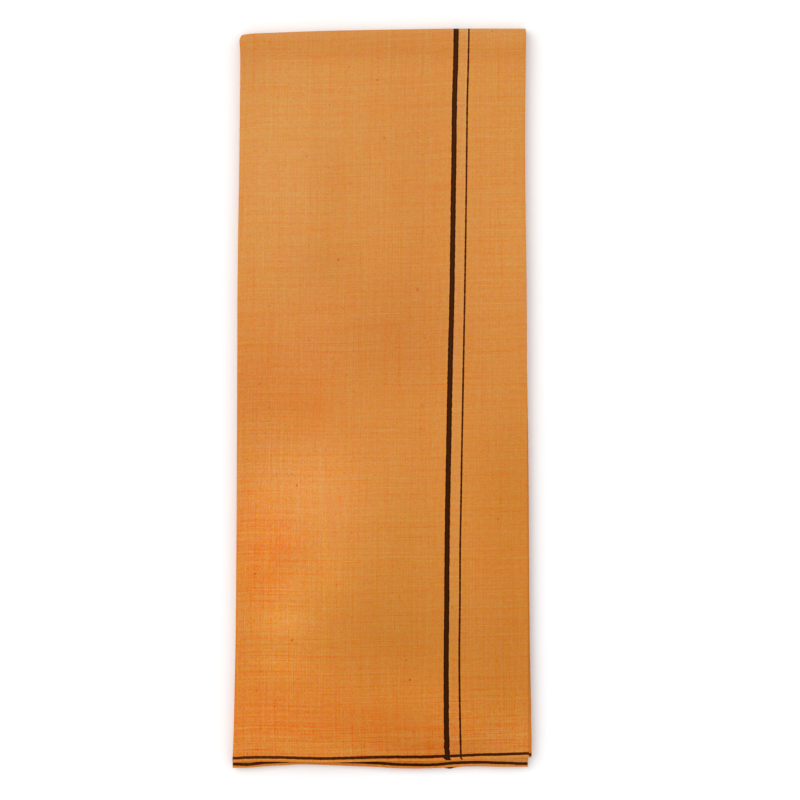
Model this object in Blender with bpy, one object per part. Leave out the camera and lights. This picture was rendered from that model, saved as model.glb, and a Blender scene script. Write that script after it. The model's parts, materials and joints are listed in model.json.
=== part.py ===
"""Folded dhoti cloth.

One length of cotton, folded along its length into eight panels, each of which is then halved over the head fold.
The panels are nested U shapes: the end panel outside, the middle ones packed together, and the last one inside.
Metres. +X is to the cloth's right seen from above, +Y to its head fold, +Z up. The underside lies flat on z = 0.
"""

import math

import bmesh
import bpy

COLLECTION = "folded_dhoti_cloth"
MM = 0.001

# Half of a panel's width in millimetres, before the photo's own outline is followed
HALF_WIDTH = 125.0

# The stack in millimetres, outwards from the plane that the panels are halved about
HALF_SLIT = 0.15
LEAF = 1.0
GAP = 0.3
PACKED_LEAF = 0.45
MIDDLE_LEAVES = 6
LAST_IN = HALF_SLIT
LAST_OUT = LAST_IN + LEAF
MIDDLE_IN = LAST_OUT + GAP
MIDDLE_OUT = MIDDLE_IN + MIDDLE_LEAVES * PACKED_LEAF
END_IN = MIDDLE_OUT + GAP
END_OUT = END_IN + LEAF

# How finely the solids are divided
COLUMNS = 22
ARM_ROWS = 22
HEAD_ROWS = 10
EDGE_COLUMNS_MM = (0.0, 1.2, 3.5, 8.0)

# Sideways reach of the leaves in millimetres, by height up the cloth. The left is one long fold. On the right the
# end panel's cut edge and the fold under it part towards the foot.
SIDE_COLUMNS = ("y", "left_fold", "cut_end", "right_fold")
SIDES = (
    (313.6, -121.6, 123.6, 123.0),
    (306.7, -122.5, 123.5, 122.9),
    (299.0, -121.8, 123.4, 122.8),
    (239.0, -122.2, 122.9, 122.5),
    (187.5, -122.8, 122.9, 122.6),
    (136.0, -123.7, 123.6, 123.1),
    (84.5, -124.2, 124.2, 123.7),
    (15.0, -124.4, 124.5, 124.7),
    (-52.0, -124.7, 124.8, 125.8),
    (-138.0, -125.2, 125.2, 126.4),
    (-207.0, -125.8, 125.5, 127.0),
    (-258.0, -126.8, 125.8, 127.9),
    (-297.0, -127.8, 126.0, 128.6),
    (-308.0, -128.4, 126.1, 128.5),
    (-318.0, -128.6, 126.1, 128.4),
)

# Top of the head fold in millimetres, across the cloth
HEAD_COLUMNS = ("x", "y")
HEAD = (
    (-122.0, 311.9),
    (-118.5, 312.7),
    (-111.5, 313.6),
    (-87.5, 314.6),
    (-61.8, 315.6),
    (-36.0, 316.3),
    (-2.0, 316.9),
    (32.0, 317.5),
    (58.0, 317.9),
    (124.0, 317.9),
)

# Selvedges at the foot in millimetres, across the cloth: of the top leaf, of the leaf that shows below it, and of
# the leaf that everything lies on
FOOT_COLUMNS = ("x", "top", "shown", "under")
FOOT = (
    (-128.0, -312.4, -317.6, -315.8),
    (-116.0, -311.6, -317.5, -315.2),
    (-107.0, -311.5, -316.8, -314.6),
    (-98.0, -311.5, -316.1, -314.2),
    (-86.0, -311.6, -315.5, -313.6),
    (-70.0, -312.1, -314.6, -313.2),
    (-53.0, -312.5, -315.0, -313.4),
    (-36.0, -312.3, -315.6, -313.9),
    (-20.0, -311.9, -316.2, -314.6),
    (-3.0, -311.4, -316.9, -315.3),
    (12.0, -311.2, -317.6, -315.9),
    (32.0, -311.2, -317.7, -316.4),
    (50.0, -310.7, -317.3, -317.0),
    (58.0, -310.4, -316.9, -317.9),
    (66.0, -310.1, -316.5, -317.0),
    (84.0, -309.3, -316.2, -315.9),
    (101.0, -308.9, -316.7, -315.7),
    (128.0, -308.1, -316.7, -315.7),
)

# How far the packed leaves step out at the foot from under the top leaf, in millimetres
STEP_COLUMNS = ("x", "step")
STEPS = (
    (-128.0, 0.6),
    (0.0, 0.7),
    (60.0, 1.5),
    (128.0, 2.8),
)

# Soft swells and hollows of the top leaf in millimetres: centre, reach to each side, and height
SWELL_COLUMNS = ("x", "y", "reach_x", "reach_y", "height")
SWELLS = (
    (0.0, 298.0, 400.0, 26.0, 0.7),
    (0.0, -320.0, 400.0, 34.0, -0.8),
    (-70.0, -150.0, 45.0, 90.0, 0.8),
    (10.0, -210.0, 40.0, 80.0, -0.4),
    (20.0, 10.0, 45.0, 110.0, -0.4),
    (85.0, 130.0, 40.0, 100.0, 0.4),
    (-70.0, 170.0, 50.0, 80.0, 0.5),
    (95.0, -28.0, 60.0, 13.0, 0.3),
)
SHOULDER_DROP = 0.7
SHOULDER_REACH = 3.0

# Rounded edges in millimetres
CORNER_LEFT = 2.0
CORNER_RIGHT = 0.3
LOBE = 0.5
SELVEDGE_NOTCH = 0.14
LEAF_LEVELS = 4

# How far each fold of the packed leaves stands back from the outermost one, from the inside of the stack outwards
RIGHT_SETBACK = (0.9, 0.5, 0.0)
LEFT_SETBACK = (0.6, 0.8, 0.4, 0.3)


def column(names, rows, wanted):
    """(place, value) pairs of one named column of a table, in rising order of place."""
    at = names.index(wanted)
    return sorted((row[0], row[at]) for row in rows)


def smooth(pairs, place):
    """The value at a place, on a smooth curve through the pairs and level beyond their ends."""
    if place <= pairs[0][0]:
        return pairs[0][1]
    if place >= pairs[-1][0]:
        return pairs[-1][1]
    i = 0
    while pairs[i + 1][0] < place:
        i += 1
    (x1, y1), (x2, y2) = pairs[i], pairs[i + 1]
    x0, y0 = pairs[max(i - 1, 0)]
    x3, y3 = pairs[min(i + 2, len(pairs) - 1)]
    slope1 = (y2 - y0) / (x2 - x0)
    slope2 = (y3 - y1) / (x3 - x1)
    run = x2 - x1
    t = (place - x1) / run
    return (
        (2 * t**3 - 3 * t**2 + 1) * y1
        + (t**3 - 2 * t**2 + t) * run * slope1
        + (3 * t**2 - 2 * t**3) * y2
        + (t**3 - t**2) * run * slope2
    )


LEFT_FOLD = column(SIDE_COLUMNS, SIDES, "left_fold")
CUT_END = column(SIDE_COLUMNS, SIDES, "cut_end")
RIGHT_FOLD = column(SIDE_COLUMNS, SIDES, "right_fold")
HEAD_LINE = column(HEAD_COLUMNS, HEAD, "y")
FOOT_TOP = column(FOOT_COLUMNS, FOOT, "top")
FOOT_SHOWN = column(FOOT_COLUMNS, FOOT, "shown")
FOOT_UNDER = column(FOOT_COLUMNS, FOOT, "under")
STEP = column(STEP_COLUMNS, STEPS, "step")


def lift(x, y):
    """How far the top leaf stands above its even height, in millimetres."""
    right = max(smooth(CUT_END, y), smooth(RIGHT_FOLD, y))
    from_side = max(0.0, min(x - smooth(LEFT_FOLD, y), right - x))
    height = -SHOULDER_DROP * math.exp(-from_side / SHOULDER_REACH)
    for swell in SWELLS:
        row = dict(zip(SWELL_COLUMNS, swell))
        away_x = (x - row["x"]) / row["reach_x"]
        away_y = (y - row["y"]) / row["reach_y"]
        height += row["height"] * math.exp(-(away_x**2) - away_y**2)
    return height


def share(offset):
    """How much of the lift reaches a layer: none at the inside of the stack, all of it at the outside."""
    return min(1.0, max(0.0, (offset - MIDDLE_IN) / (MIDDLE_OUT - MIDDLE_IN)))


def row_places():
    """(part, place) of each row of points, from the top selvedge over the head fold to the lower selvedge."""
    places = [("upper", i / ARM_ROWS) for i in range(ARM_ROWS)]
    places += [("head", 90.0 - 180.0 * i / HEAD_ROWS) for i in range(HEAD_ROWS + 1)]
    places += [("lower", 1 - i / ARM_ROWS) for i in range(1, ARM_ROWS + 1)]
    return places


def column_places():
    """Fractions of the width at which the columns of points stand, closer together near the two sides."""
    near = [d / (2 * HALF_WIDTH) for d in EDGE_COLUMNS_MM]
    inner = [near[-1] + (1 - 2 * near[-1]) * i / COLUMNS for i in range(1, COLUMNS)]
    return near + inner + [1 - d for d in reversed(near)]


def leaf_point(panel, level, part, place, across):
    """One point of a panel in metres: a level through its thickness, a place along its U, and a fraction across."""
    offset = level["offset"]
    angle = {"upper": 90.0, "lower": -90.0}.get(part, place)
    turn = math.radians(angle)
    corner = math.cos(turn) ** 2
    x = HALF_WIDTH * (2.0 * across - 1.0)
    # The sides depend on the height up the cloth and the foot on the place across, so they settle together
    for _ in range(3):
        centre = smooth(HEAD_LINE, x) - END_OUT
        if part == "head":
            y = centre + offset * math.cos(turn)
        else:
            foot = panel[part + "_foot"](x, level)
            y = foot + (centre - foot) * place
        left = panel["left"](y) + level["left"] + CORNER_LEFT * corner
        right = panel["right"](y) - level["right"] - CORNER_RIGHT * corner
        x = left + (right - left) * across
    z = END_OUT + offset * math.sin(turn)
    z += lift(x, y) * share(offset) * max(0.0, math.sin(turn))
    return (x * MM, y * MM, z * MM)


def panel_solid(name, panel, colour):
    """A panel as one closed mesh: a grid inside, a grid outside, and a strip round their edges for each level."""
    mesh = bpy.data.meshes.new(name)
    obj = bpy.data.objects.new(name, mesh)
    bpy.data.collections[COLLECTION].objects.link(obj)
    shape = bmesh.new()
    rows = row_places()
    columns = column_places()
    last_row = len(rows) - 1
    last_column = len(columns) - 1

    def vert(level, r, c):
        part, place = rows[r]
        return shape.verts.new(leaf_point(panel, level, part, place, columns[c]))

    levels = panel["levels"]
    grids = []
    for level in (levels[0], levels[-1]):
        grids.append([[vert(level, r, c) for c in range(last_column + 1)] for r in range(last_row + 1)])
    rim = [(0, c) for c in range(last_column)]
    rim += [(r, last_column) for r in range(last_row)]
    rim += [(last_row, c) for c in range(last_column, 0, -1)]
    rim += [(r, 0) for r in range(last_row, 0, -1)]
    rings = [[grids[0][r][c] for r, c in rim]]
    for level in levels[1:-1]:
        rings.append([vert(level, r, c) for r, c in rim])
    rings.append([grids[1][r][c] for r, c in rim])
    for grid in grids:
        for r in range(last_row):
            for c in range(last_column):
                shape.faces.new((grid[r][c], grid[r][c + 1], grid[r + 1][c + 1], grid[r + 1][c]))
    for ring, other in zip(rings, rings[1:]):
        for i in range(len(rim)):
            j = (i + 1) % len(rim)
            shape.faces.new((ring[i], ring[j], other[j], other[i]))
    bmesh.ops.recalc_face_normals(shape, faces=shape.faces)
    shape.to_mesh(mesh)
    shape.free()
    for face in mesh.polygons:
        face.use_smooth = True
    mesh.materials.append(cotton(name, colour))
    return obj


def cotton(name, colour):
    material = bpy.data.materials.new(name + "_cotton")
    material.use_nodes = True
    shader = material.node_tree.nodes["Principled BSDF"]
    shader.inputs["Base Color"].default_value = (*colour, 1.0)
    shader.inputs["Roughness"].default_value = 0.9
    return material


def rounded(t):
    """Set-back of a round edge, from 0 at its middle to 1 where it meets its neighbour at t = 1 or -1."""
    return 1.0 - math.sqrt(max(0.0, 1.0 - t * t))


def single_leaf_levels(inside, fold_on_left):
    """Levels through one leaf. Its cut edge is round on both sides, and its fold rounds over on the outside only."""
    levels = []
    for i in range(LEAF_LEVELS + 1):
        through = i / LEAF_LEVELS
        both = 0.3 * rounded(2 * through - 1)
        fold = 0.9 * rounded(through)
        left = fold if fold_on_left else both
        levels.append({"offset": inside + LEAF * through, "left": left, "right": both, "foot": both, "depth": 0.0})
    return levels


def fold_setback(half_leaf, cut_short, setbacks):
    """Set-back of the packed leaves' side at a level. Each fold spans four half leaves, and the first is cut short."""
    place = (half_leaf + cut_short) / 4.0
    number = min(math.floor(place), len(setbacks) - 1)
    t = 2.0 * (place - math.floor(place)) - 1.0
    return LOBE * rounded(t) + setbacks[number]


def packed_levels():
    """Levels through the packed leaves: three folds on the right, and on the left two whole ones and two halves."""
    levels = []
    halves = 2 * MIDDLE_LEAVES
    for i in range(halves + 1):
        levels.append(
            {
                "offset": MIDDLE_IN + PACKED_LEAF * i / 2,
                "left": fold_setback(i, 2, LEFT_SETBACK),
                "right": fold_setback(i, 0, RIGHT_SETBACK),
                "foot": SELVEDGE_NOTCH if i % 2 == 0 else 0.0,
                "depth": 1.0 - i / halves,
            }
        )
    return levels


def foot_line(pairs, back=0.0, stepped=None):
    """A function of x and level for where a leaf ends at the foot: on the line, less its share of the steps."""

    def at(x, level):
        steps = stepped(level) if stepped else 0.0
        return smooth(pairs, x) + back + level["foot"] - smooth(STEP, x) * steps

    return at


def end_panel():
    return {
        "levels": single_leaf_levels(END_IN, True),
        "left": lambda y: smooth(LEFT_FOLD, y),
        "right": lambda y: smooth(CUT_END, y),
        "upper_foot": foot_line(FOOT_TOP),
        "lower_foot": foot_line(FOOT_UNDER),
    }


def middle_layers():
    return {
        "levels": packed_levels(),
        "left": lambda y: smooth(LEFT_FOLD, y),
        "right": lambda y: smooth(RIGHT_FOLD, y),
        "upper_foot": foot_line(FOOT_TOP, -0.1, lambda level: level["depth"]),
        "lower_foot": foot_line(FOOT_SHOWN, 1.2),
    }


def last_panel():
    return {
        "levels": single_leaf_levels(LAST_IN, False),
        "left": lambda y: smooth(LEFT_FOLD, y) + 0.8,
        "right": lambda y: min(smooth(CUT_END, y), 124.6) - 0.2,
        "upper_foot": foot_line(FOOT_TOP, -0.2, lambda level: 1.0),
        "lower_foot": foot_line(FOOT_SHOWN),
    }


def main():
    for obj in list(bpy.data.objects):
        bpy.data.objects.remove(obj)
    collection = bpy.data.collections.new(COLLECTION)
    bpy.context.scene.collection.children.link(collection)
    panel_solid("end_panel", end_panel(), (0.63, 0.25, 0.055))
    panel_solid("middle_layers", middle_layers(), (0.58, 0.22, 0.045))
    panel_solid("last_panel", last_panel(), (0.60, 0.24, 0.05))


main()
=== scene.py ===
"""Looks of the folded dhoti cloth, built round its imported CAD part.

The cloth is one length of saffron cotton, folded along its length into eight panels that are then halved
over the head fold, so that it lies as sixteen leaves. Three thin closed sheets stand for it: the end panel
with its woven stripes, the six panels between as one accordion, and the last panel. Tables of shape and of
soft spots are in millimetres, in the CAD's own frame: +X to the right, +Y to the head fold, +Z up, with the
underside on z = 0. Places on the flat cloth are in metres.
"""

import json
import math

import bpy
import numpy as np
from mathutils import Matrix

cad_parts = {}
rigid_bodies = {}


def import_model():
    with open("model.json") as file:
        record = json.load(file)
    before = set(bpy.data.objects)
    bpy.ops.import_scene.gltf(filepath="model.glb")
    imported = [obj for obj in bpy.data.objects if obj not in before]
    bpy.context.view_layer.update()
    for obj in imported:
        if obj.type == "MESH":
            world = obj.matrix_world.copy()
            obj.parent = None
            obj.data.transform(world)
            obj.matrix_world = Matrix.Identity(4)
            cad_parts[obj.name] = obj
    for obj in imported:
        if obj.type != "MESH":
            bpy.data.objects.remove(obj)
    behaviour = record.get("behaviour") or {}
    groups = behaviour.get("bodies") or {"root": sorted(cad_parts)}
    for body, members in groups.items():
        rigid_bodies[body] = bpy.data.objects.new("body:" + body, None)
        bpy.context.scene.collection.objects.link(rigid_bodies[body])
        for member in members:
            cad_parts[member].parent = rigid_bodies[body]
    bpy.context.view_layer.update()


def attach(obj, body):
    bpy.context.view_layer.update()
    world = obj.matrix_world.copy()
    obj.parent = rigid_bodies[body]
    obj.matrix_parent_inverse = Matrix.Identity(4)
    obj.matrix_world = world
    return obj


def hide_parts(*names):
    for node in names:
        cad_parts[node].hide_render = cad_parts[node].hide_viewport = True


MM = 0.001

# The cloth as cut, in metres: a panel's width, the width from selvedge to selvedge, and how many panels
PANEL = 0.25
CLOTH_WIDTH = 1.27
PANELS = 8

# The stack in millimetres, outwards from the plane that the panels are halved about
END_OUT = 5.45
HALF_SLIT = 0.15
LEAF = 0.40
OUTER_LEAF = END_OUT - LEAF / 2
INNER_LEAF = HALF_SLIT + LEAF / 2
PITCH = (OUTER_LEAF - INNER_LEAF) / (PANELS - 1)

# Sideways reach of the leaves by height up the cloth
SIDE_COLUMNS = ("y", "left_fold", "cut_end", "right_fold")
SIDES = (
    (313.6, -121.6, 123.6, 123.0),
    (306.7, -122.5, 123.5, 122.9),
    (299.0, -121.8, 123.4, 122.8),
    (239.0, -122.2, 122.9, 122.5),
    (187.5, -122.8, 122.9, 122.6),
    (136.0, -123.7, 123.6, 123.1),
    (84.5, -124.2, 124.2, 123.7),
    (15.0, -124.4, 124.5, 124.7),
    (-52.0, -124.7, 124.8, 125.8),
    (-138.0, -125.2, 125.2, 126.4),
    (-207.0, -125.8, 125.5, 127.0),
    (-258.0, -126.8, 125.8, 127.9),
    (-297.0, -127.8, 126.0, 128.6),
    (-308.0, -128.4, 126.1, 128.5),
    (-318.0, -128.6, 126.1, 128.4),
)

# Top of the head fold, across the cloth
HEAD_COLUMNS = ("x", "y")
HEAD = (
    (-122.0, 311.9),
    (-118.5, 312.7),
    (-111.5, 313.6),
    (-87.5, 314.6),
    (-61.8, 315.6),
    (-36.0, 316.3),
    (-2.0, 316.9),
    (32.0, 317.5),
    (58.0, 317.9),
    (124.0, 317.9),
)

# Selvedges at the foot, across the cloth: of the top leaf, the leaf that shows below it and the lowest leaf
FOOT_COLUMNS = ("x", "top", "shown", "under")
FOOT = (
    (-128.0, -312.4, -317.6, -315.8),
    (-116.0, -311.6, -317.5, -315.2),
    (-107.0, -311.5, -316.8, -314.6),
    (-98.0, -311.5, -316.1, -314.2),
    (-86.0, -311.6, -315.5, -313.6),
    (-70.0, -312.1, -314.6, -313.2),
    (-53.0, -312.5, -315.0, -313.4),
    (-36.0, -312.3, -315.6, -313.9),
    (-20.0, -311.9, -316.2, -314.6),
    (-3.0, -311.4, -316.9, -315.3),
    (12.0, -311.2, -317.9, -315.9),
    (32.0, -311.2, -318.1, -316.4),
    (50.0, -310.7, -317.6, -317.3),
    (58.0, -310.4, -316.9, -318.8),
    (66.0, -310.1, -316.5, -317.3),
    (84.0, -309.3, -316.2, -315.9),
    (101.0, -308.9, -316.7, -315.7),
    (128.0, -308.1, -316.7, -315.7),
)

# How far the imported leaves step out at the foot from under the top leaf
STEP_COLUMNS = ("x", "step")
STEPS = (
    (-128.0, 0.6),
    (0.0, 0.7),
    (60.0, 1.5),
    (128.0, 2.8),
)

# Middles of the two woven stripes on the top leaf, by height up the cloth. Towards the foot of the lowest
# leaf they shift to the right
STRIPE_COLUMNS = ("y", "thick", "thin")
STRIPES = (
    (316.0, 63.6, 74.6),
    (290.0, 63.2, 74.1),
    (256.0, 62.2, 73.2),
    (213.0, 61.7, 72.7),
    (170.0, 61.1, 72.2),
    (127.0, 60.5, 71.6),
    (84.5, 59.9, 70.9),
    (41.6, 58.8, 70.1),
    (-1.3, 57.9, 69.3),
    (-44.0, 57.1, 68.5),
    (-87.0, 56.3, 67.8),
    (-130.0, 55.8, 67.0),
    (-173.0, 55.5, 66.8),
    (-216.0, 55.1, 66.3),
    (-259.0, 55.0, 66.6),
    (-297.0, 55.4, 67.4),
    (-312.0, 55.8, 67.8),
)
UNDER_STRIPE_SHIFT = 2.5
UNDER_SHIFT_FROM = -200.0
UNDER_SHIFT_OVER = 118.0

# Soft swells and hollows of the top leaf: centre, reach to each side, and height
SWELL_COLUMNS = ("x", "y", "reach_x", "reach_y", "height")
SWELLS = (
    (0.0, 298.0, 400.0, 26.0, 0.7),
    (0.0, -320.0, 400.0, 34.0, -0.8),
    (-70.0, -150.0, 45.0, 90.0, 0.8),
    (10.0, -210.0, 40.0, 80.0, -0.4),
    (20.0, 10.0, 45.0, 110.0, -0.4),
    (85.0, 130.0, 40.0, 100.0, 0.4),
    (-70.0, 170.0, 50.0, 80.0, 0.5),
    (95.0, -28.0, 60.0, 13.0, 0.3),
)
# Its sides droop, and the ends of the head fold stand back
SHOULDER_DROP = 0.7
SHOULDER_REACH = 3.0
CORNER_LEFT = 0.9
CORNER_RIGHT = 0.3

# How far each fold loop stands back from the outline, and how much that wavers along the fold
LOOP_COLUMNS = ("loop", "setback", "waver")
LOOPS = (
    ("end", 0.0, 0.0),
    ("1/2", 0.0, 0.0),
    ("2/3", 0.10, 0.08),
    ("3/4", 0.75, 0.45),
    ("4/5", 0.65, 0.40),
    ("5/6", 0.95, 0.45),
    ("6/7", 1.00, 0.50),
    ("7/8", 0.10, 0.10),
    ("inside", 8.4, 0.0),
    ("last", 0.0, 0.0),
)
LOOP_STEPS = 7
# Towards the foot only the outermost right fold reaches the outline. The others stand further in, by these
# amounts above and below the mid-plane
INSET_FROM = 60.0
INSET_OVER = 300.0
INSET_COLUMNS = ("loop", "above", "below")
INSETS = (
    ("end", 0.0, 0.9),
    ("2/3", 0.0, 4.2),
    ("4/5", 3.0, 4.2),
    ("6/7", 3.0, 4.2),
)
# Levels of the points round a sheet's rim, from 1 outside to -1 inside
RIM = (0.75, 0.0, -0.75)
# Length of a leaf, for the spacing of its points
ARM_LENGTH = 625.0
# A point's x and y hang on each other, so they are found in a few passes
PASSES = 5


def column(names, rows, wanted):
    """(places, values) of one named column of a table, in rising order of place."""
    at = names.index(wanted)
    pairs = sorted((row[0], row[at]) for row in rows)
    return np.array([p[0] for p in pairs]), np.array([p[1] for p in pairs])


def smooth(table, place):
    """Values at places, on a smooth curve through a column of a table and level beyond its ends."""
    xs, ys = table
    place = np.clip(place, xs[0], xs[-1])
    i = np.clip(np.searchsorted(xs, place, side="right") - 1, 0, len(xs) - 2)
    before = np.maximum(i - 1, 0)
    after = np.minimum(i + 2, len(xs) - 1)
    slope1 = (ys[i + 1] - ys[before]) / (xs[i + 1] - xs[before])
    slope2 = (ys[after] - ys[i]) / (xs[after] - xs[i])
    run = xs[i + 1] - xs[i]
    t = (place - xs[i]) / run
    return (
        (2 * t**3 - 3 * t**2 + 1) * ys[i]
        + (t**3 - 2 * t**2 + t) * run * slope1
        + (3 * t**2 - 2 * t**3) * ys[i + 1]
        + (t**3 - t**2) * run * slope2
    )


LEFT_FOLD = column(SIDE_COLUMNS, SIDES, "left_fold")
CUT_END = column(SIDE_COLUMNS, SIDES, "cut_end")
RIGHT_FOLD = column(SIDE_COLUMNS, SIDES, "right_fold")
HEAD_LINE = column(HEAD_COLUMNS, HEAD, "y")
FOOT_TOP = column(FOOT_COLUMNS, FOOT, "top")
FOOT_SHOWN = column(FOOT_COLUMNS, FOOT, "shown")
FOOT_UNDER = column(FOOT_COLUMNS, FOOT, "under")
STEP = column(STEP_COLUMNS, STEPS, "step")
THICK_LINE = column(STRIPE_COLUMNS, STRIPES, "thick")
THIN_LINE = column(STRIPE_COLUMNS, STRIPES, "thin")


def eased(t):
    """Smooth step from 0 to 1 as t goes from 0 to 1."""
    t = np.clip(t, 0.0, 1.0)
    return t * t * (3.0 - 2.0 * t)


def lift(x, y):
    """How far the top leaf stands above its even height."""
    right = np.maximum(smooth(CUT_END, y), smooth(RIGHT_FOLD, y))
    from_side = np.maximum(0.0, np.minimum(x - smooth(LEFT_FOLD, y), right - x))
    height = -SHOULDER_DROP * np.exp(-from_side / SHOULDER_REACH)
    for swell in SWELLS:
        row = dict(zip(SWELL_COLUMNS, swell))
        away_x = (x - row["x"]) / row["reach_x"]
        away_y = (y - row["y"]) / row["reach_y"]
        height = height + row["height"] * np.exp(-(away_x**2) - away_y**2)
    return height


# Waves of a fold or selvedge: how many over its length, and how strong
WAVES = ((2.0, 0.45), (5.0, 0.3), (11.0, 0.2), (23.0, 0.12))


def waver(seed, along):
    """A slow wave between about -1 and 1 along a fold or a selvedge, different for each seed."""
    phases = np.random.default_rng(seed).uniform(0.0, 2.0 * math.pi, len(WAVES))
    total = np.zeros_like(along)
    for (turns, weight), phase in zip(WAVES, phases):
        total = total + weight * np.sin(2.0 * math.pi * turns * along + phase)
    return total


class Path:
    """A sheet's course across the stack, as points from one edge to the other.

    Each point has a fraction across the width, the loops that bound it on the left and the right, a sideways
    shift, an offset from the mid-plane, the direction of the sheet's outer side, and its leaf's number.
    """

    def __init__(self):
        self.points = []

    def add(self, fraction, left, right, shift, offset, side, leaf):
        self.points.append((fraction, left, right, shift, offset, side[0], side[1], leaf))

    def run(self, leaf, fractions, left, right, rightwards):
        """A straight run along a leaf. Its outer side faces outwards where the sheet goes leftwards."""
        offset = OUTER_LEAF - PITCH * (leaf - 1)
        facing = -1.0 if rightwards else 1.0
        for fraction in fractions if rightwards else fractions[::-1]:
            self.add(fraction, left, right, 0.0, offset, (0.0, facing), leaf)

    def loop(self, leaf, left, right, on_left):
        """The turn from a leaf to the next one inwards, without the points where it meets the two runs."""
        radius = PITCH / 2
        middle = OUTER_LEAF - PITCH * (leaf - 1) - radius
        fraction = 0.0 if on_left else 1.0
        way = -1.0 if on_left else 1.0
        for i in range(1, LOOP_STEPS):
            turn = math.pi * i / LOOP_STEPS
            out = math.sin(turn)
            up = math.cos(turn)
            # Going leftwards into a left loop keeps the outer side outside, and a right loop turns it inside
            sign = 1.0 if on_left else -1.0
            side = (sign * way * out, sign * up)
            shift = way * radius * out
            self.add(fraction, left, right, shift, middle + radius * up, side, leaf + i / LOOP_STEPS)

    def arrays(self):
        columns = list(zip(*self.points))
        names = ("fraction", "left", "right", "shift", "offset", "side_x", "side_o", "leaf")
        made = {}
        for name, values in zip(names, columns):
            made[name] = list(values) if name in ("left", "right") else np.array(values)
        return made


def fractions(near, middle):
    """Fractions across a leaf, at the given distances in from both sides and evenly between."""
    close = [d / (1000 * PANEL) for d in near]
    span = 1 - 2 * close[-1]
    inner = [close[-1] + span * i / middle for i in range(1, middle)]
    return close + inner + [1 - d for d in reversed(close)]


def row_table(upper, head, lower):
    """Angle and place of each row of points, from the upper selvedge over the head fold to the lower one."""
    rows = [(90.0, p) for p in upper]
    rows += [(90.0 - 180.0 * i / head, 1.0) for i in range(head + 1)]
    rows += [(-90.0, p) for p in reversed(lower)]
    angle = np.array([r[0] for r in rows])
    return {
        "turn": np.radians(angle),
        "place": np.array([r[1] for r in rows]),
        "arm": np.array([i < len(upper) or i > len(upper) + head for i in range(len(rows))]),
        "upper": np.array([i <= len(upper) + head // 2 for i in range(len(rows))]),
        "along": np.linspace(0.0, 1.0, len(rows)),
    }


def arm_places(count, near_foot):
    """Places from the foot to the head fold, closer together near the foot."""
    even = [i / count for i in range(1, count)]
    close = [d / ARM_LENGTH for d in near_foot]
    return sorted(close + [p for p in even if p > close[-1] + 0.4 / count])


def place_points(path, rows, sheet, through):
    """Points of a sheet at a level through its thickness, from 1 on its outer side to -1 on the inner one."""
    turn = rows["turn"][:, None]
    place = rows["place"][:, None]
    arm = rows["arm"][:, None]
    upper = rows["upper"][:, None]
    along = rows["along"][:, None]
    back = LEAF / 2 * (1.0 - math.sqrt(max(0.0, 1.0 - through * through)))
    offset = (path["offset"] + path["side_o"] * through * LEAF / 2)[None, :]
    shift = (path["shift"] + path["side_x"] * through * LEAF / 2)[None, :].copy()
    # The sheet's two cut or tucked edges are round as well
    shift[0, 0] += sheet["start_way"] * back
    shift[0, -1] += sheet["stop_way"] * back
    fraction = path["fraction"][None, :]
    leaf = path["leaf"][None, :]
    loops = {row[0]: (seed, dict(zip(LOOP_COLUMNS, row))) for seed, row in enumerate(LOOPS)}
    insets = {row[0]: dict(zip(INSET_COLUMNS, row)) for row in INSETS}

    def stood_back(names):
        total = np.empty((len(along), len(names)))
        for j, name in enumerate(names):
            seed, loop = loops[name]
            wave = loop["setback"] + loop["waver"] * waver(seed, along[:, 0]) + LEAF / 2 + PITCH / 2
            total[:, j] = 0.0 if name in ("end", "last") else wave
        return total

    in_left = stood_back(path["left"])
    in_right = stood_back(path["right"])
    above = np.array([insets[name]["above"] if name in insets else 0.0 for name in path["right"]])
    below = np.array([insets[name]["below"] if name in insets else 0.0 for name in path["right"]])
    stepped_in = np.where(upper, above[None, :], below[None, :])
    corner = np.cos(turn) ** 2
    x = 1000 * PANEL * (fraction - 0.5) + np.zeros_like(turn)
    for _ in range(PASSES):
        centre = smooth(HEAD_LINE, x) - END_OUT
        foot = np.where(upper, sheet["upper_foot"](x, leaf), sheet["lower_foot"](x, leaf)) + back
        y = np.where(arm, foot + (centre - foot) * place, centre + offset * np.cos(turn))
        left = smooth(LEFT_FOLD, y) + in_left + CORNER_LEFT * corner
        right = sheet["right"](y) - in_right - CORNER_RIGHT * corner
        right = right - eased((INSET_FROM - y) / INSET_OVER) * stepped_in
        x = (1.0 - fraction) * left + fraction * right + shift
    z = END_OUT + offset * np.sin(turn)
    share = np.clip(offset / END_OUT, 0.0, 1.0)
    z = z + lift(x, y) * share * np.maximum(0.0, np.sin(turn))
    return np.stack([x, y, z], axis=-1) * MM


def lengths_along(points):
    """Distance of each point from the first one of its column, and each column's whole length."""
    steps = np.linalg.norm(np.diff(points, axis=0), axis=-1)
    far = np.concatenate([np.zeros((1, points.shape[1])), np.cumsum(steps, axis=0)])
    return far, far[-1:]


def cloth_coordinates(path, rows, sheet):
    """Place of each point on the flat cloth in metres: from the cut end, and from the upper selvedge."""
    centre = place_points(path, rows, sheet, 0.0)
    far, whole = lengths_along(centre)
    start = sheet["edge_start"]
    v = start + far + (CLOTH_WIDTH - 2 * start - whole) * eased(far / whole)
    across = np.linalg.norm(np.diff(centre, axis=1), axis=-1)
    u = np.concatenate([np.zeros((len(centre), 1)), np.cumsum(across, axis=1)], axis=1)
    u = u + sheet["first_u"]
    if sheet["striped"]:
        u = striped_coordinates(centre, rows, u)
    return u, v


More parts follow.
